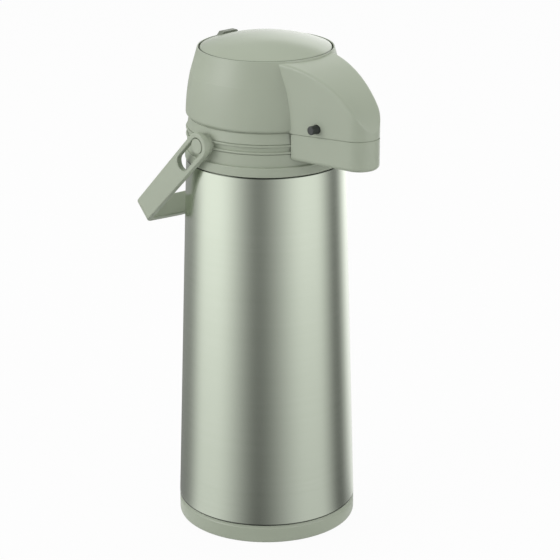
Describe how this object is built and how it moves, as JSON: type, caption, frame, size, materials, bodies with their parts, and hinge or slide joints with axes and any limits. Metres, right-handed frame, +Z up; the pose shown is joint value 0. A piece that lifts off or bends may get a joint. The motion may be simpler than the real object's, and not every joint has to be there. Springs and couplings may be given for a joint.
{
  "type": "pump pot",
  "caption": "Pump pot: tapered steel vacuum flask on a base cap, with a hinged pump head, domed push button, flared pouring nose and swing handle.",
  "frame": {"origin": "centre of the standing face, on the flask's axis", "axes": "+Z up along the flask's axis, nose towards -Y, hinge at +Y, handle pivots along X"},
  "size_m": [0.1266, 0.1782, 0.3535],
  "materials": {
    "sage_plastic": "satin moulded plastic, grey sage green",
    "dark_sage_plastic": "satin moulded plastic, dark sage",
    "brushed_steel": "brushed stainless steel",
    "bright_steel": "bright stainless steel",
    "inner_plastic": "plain moulded plastic, off white",
    "pipe_plastic": "milky extruded plastic",
    "silicone": "matt silicone rubber",
    "foot_rubber": "matt black rubber",
    "black_plastic": "satin black plastic"
  },
  "bodies": {
    "pot": {"base_cap": "sage_plastic", "base_pad": "foot_rubber", "outer_shell": "brushed_steel", "shell_bottom": "brushed_steel", "inner_liner": "brushed_steel", "shoulder_ring": "sage_plastic", "collar": "sage_plastic", "mouth_gasket": "silicone", "spout_cover": "sage_plastic", "outlet_nozzle": "inner_plastic", "spout_pipe": "pipe_plastic", "pipe_seal": "silicone", "dip_tube": "pipe_plastic", "tube_packing": "silicone", "hinge_pin": "bright_steel", "handle_studs": "sage_plastic"},
    "head": {"head_shell": "sage_plastic", "pump_plate": "inner_plastic", "plate_screws": "bright_steel", "lid_gasket": "silicone", "air_valve": "silicone", "bellows": "silicone", "bellows_spring": "bright_steel"},
    "button": {"button_cap": "sage_plastic", "press_plate": "inner_plastic"},
    "button_lock": {"button_lock": "dark_sage_plastic"},
    "lid_lock": {"lid_lock": "black_plastic"},
    "handle": {"handle": "sage_plastic"}
  },
  "joints": [
    {"name": "head_hinge", "type": "hinge", "parent": "pot", "child": "head", "pos_m": [0, 0.06, 0.29745], "axis": [-1, 0, 0], "range_deg": [0, 85]},
    {"name": "button_press", "type": "slide", "parent": "head", "child": "button", "axis": [0, 0, -1], "range_m": [0, 0.02], "stiffness_N_per_m": 300, "springref_m": -0.02, "deforming": ["bellows", "bellows_spring"]},
    {"name": "button_lock_slide", "type": "slide", "parent": "button", "child": "button_lock", "axis": [0, 1, 0], "range_m": [0, 0.003]},
    {"name": "lid_lock_slide", "type": "slide", "parent": "head", "child": "lid_lock", "axis": [1, 0, 0], "range_m": [0, 0.005]},
    {"name": "handle_swing", "type": "hinge", "parent": "pot", "child": "handle", "pos_m": [0, 0, 0.2858], "axis": [1, 0, 0], "range_deg": [0, 178]}
  ]
}
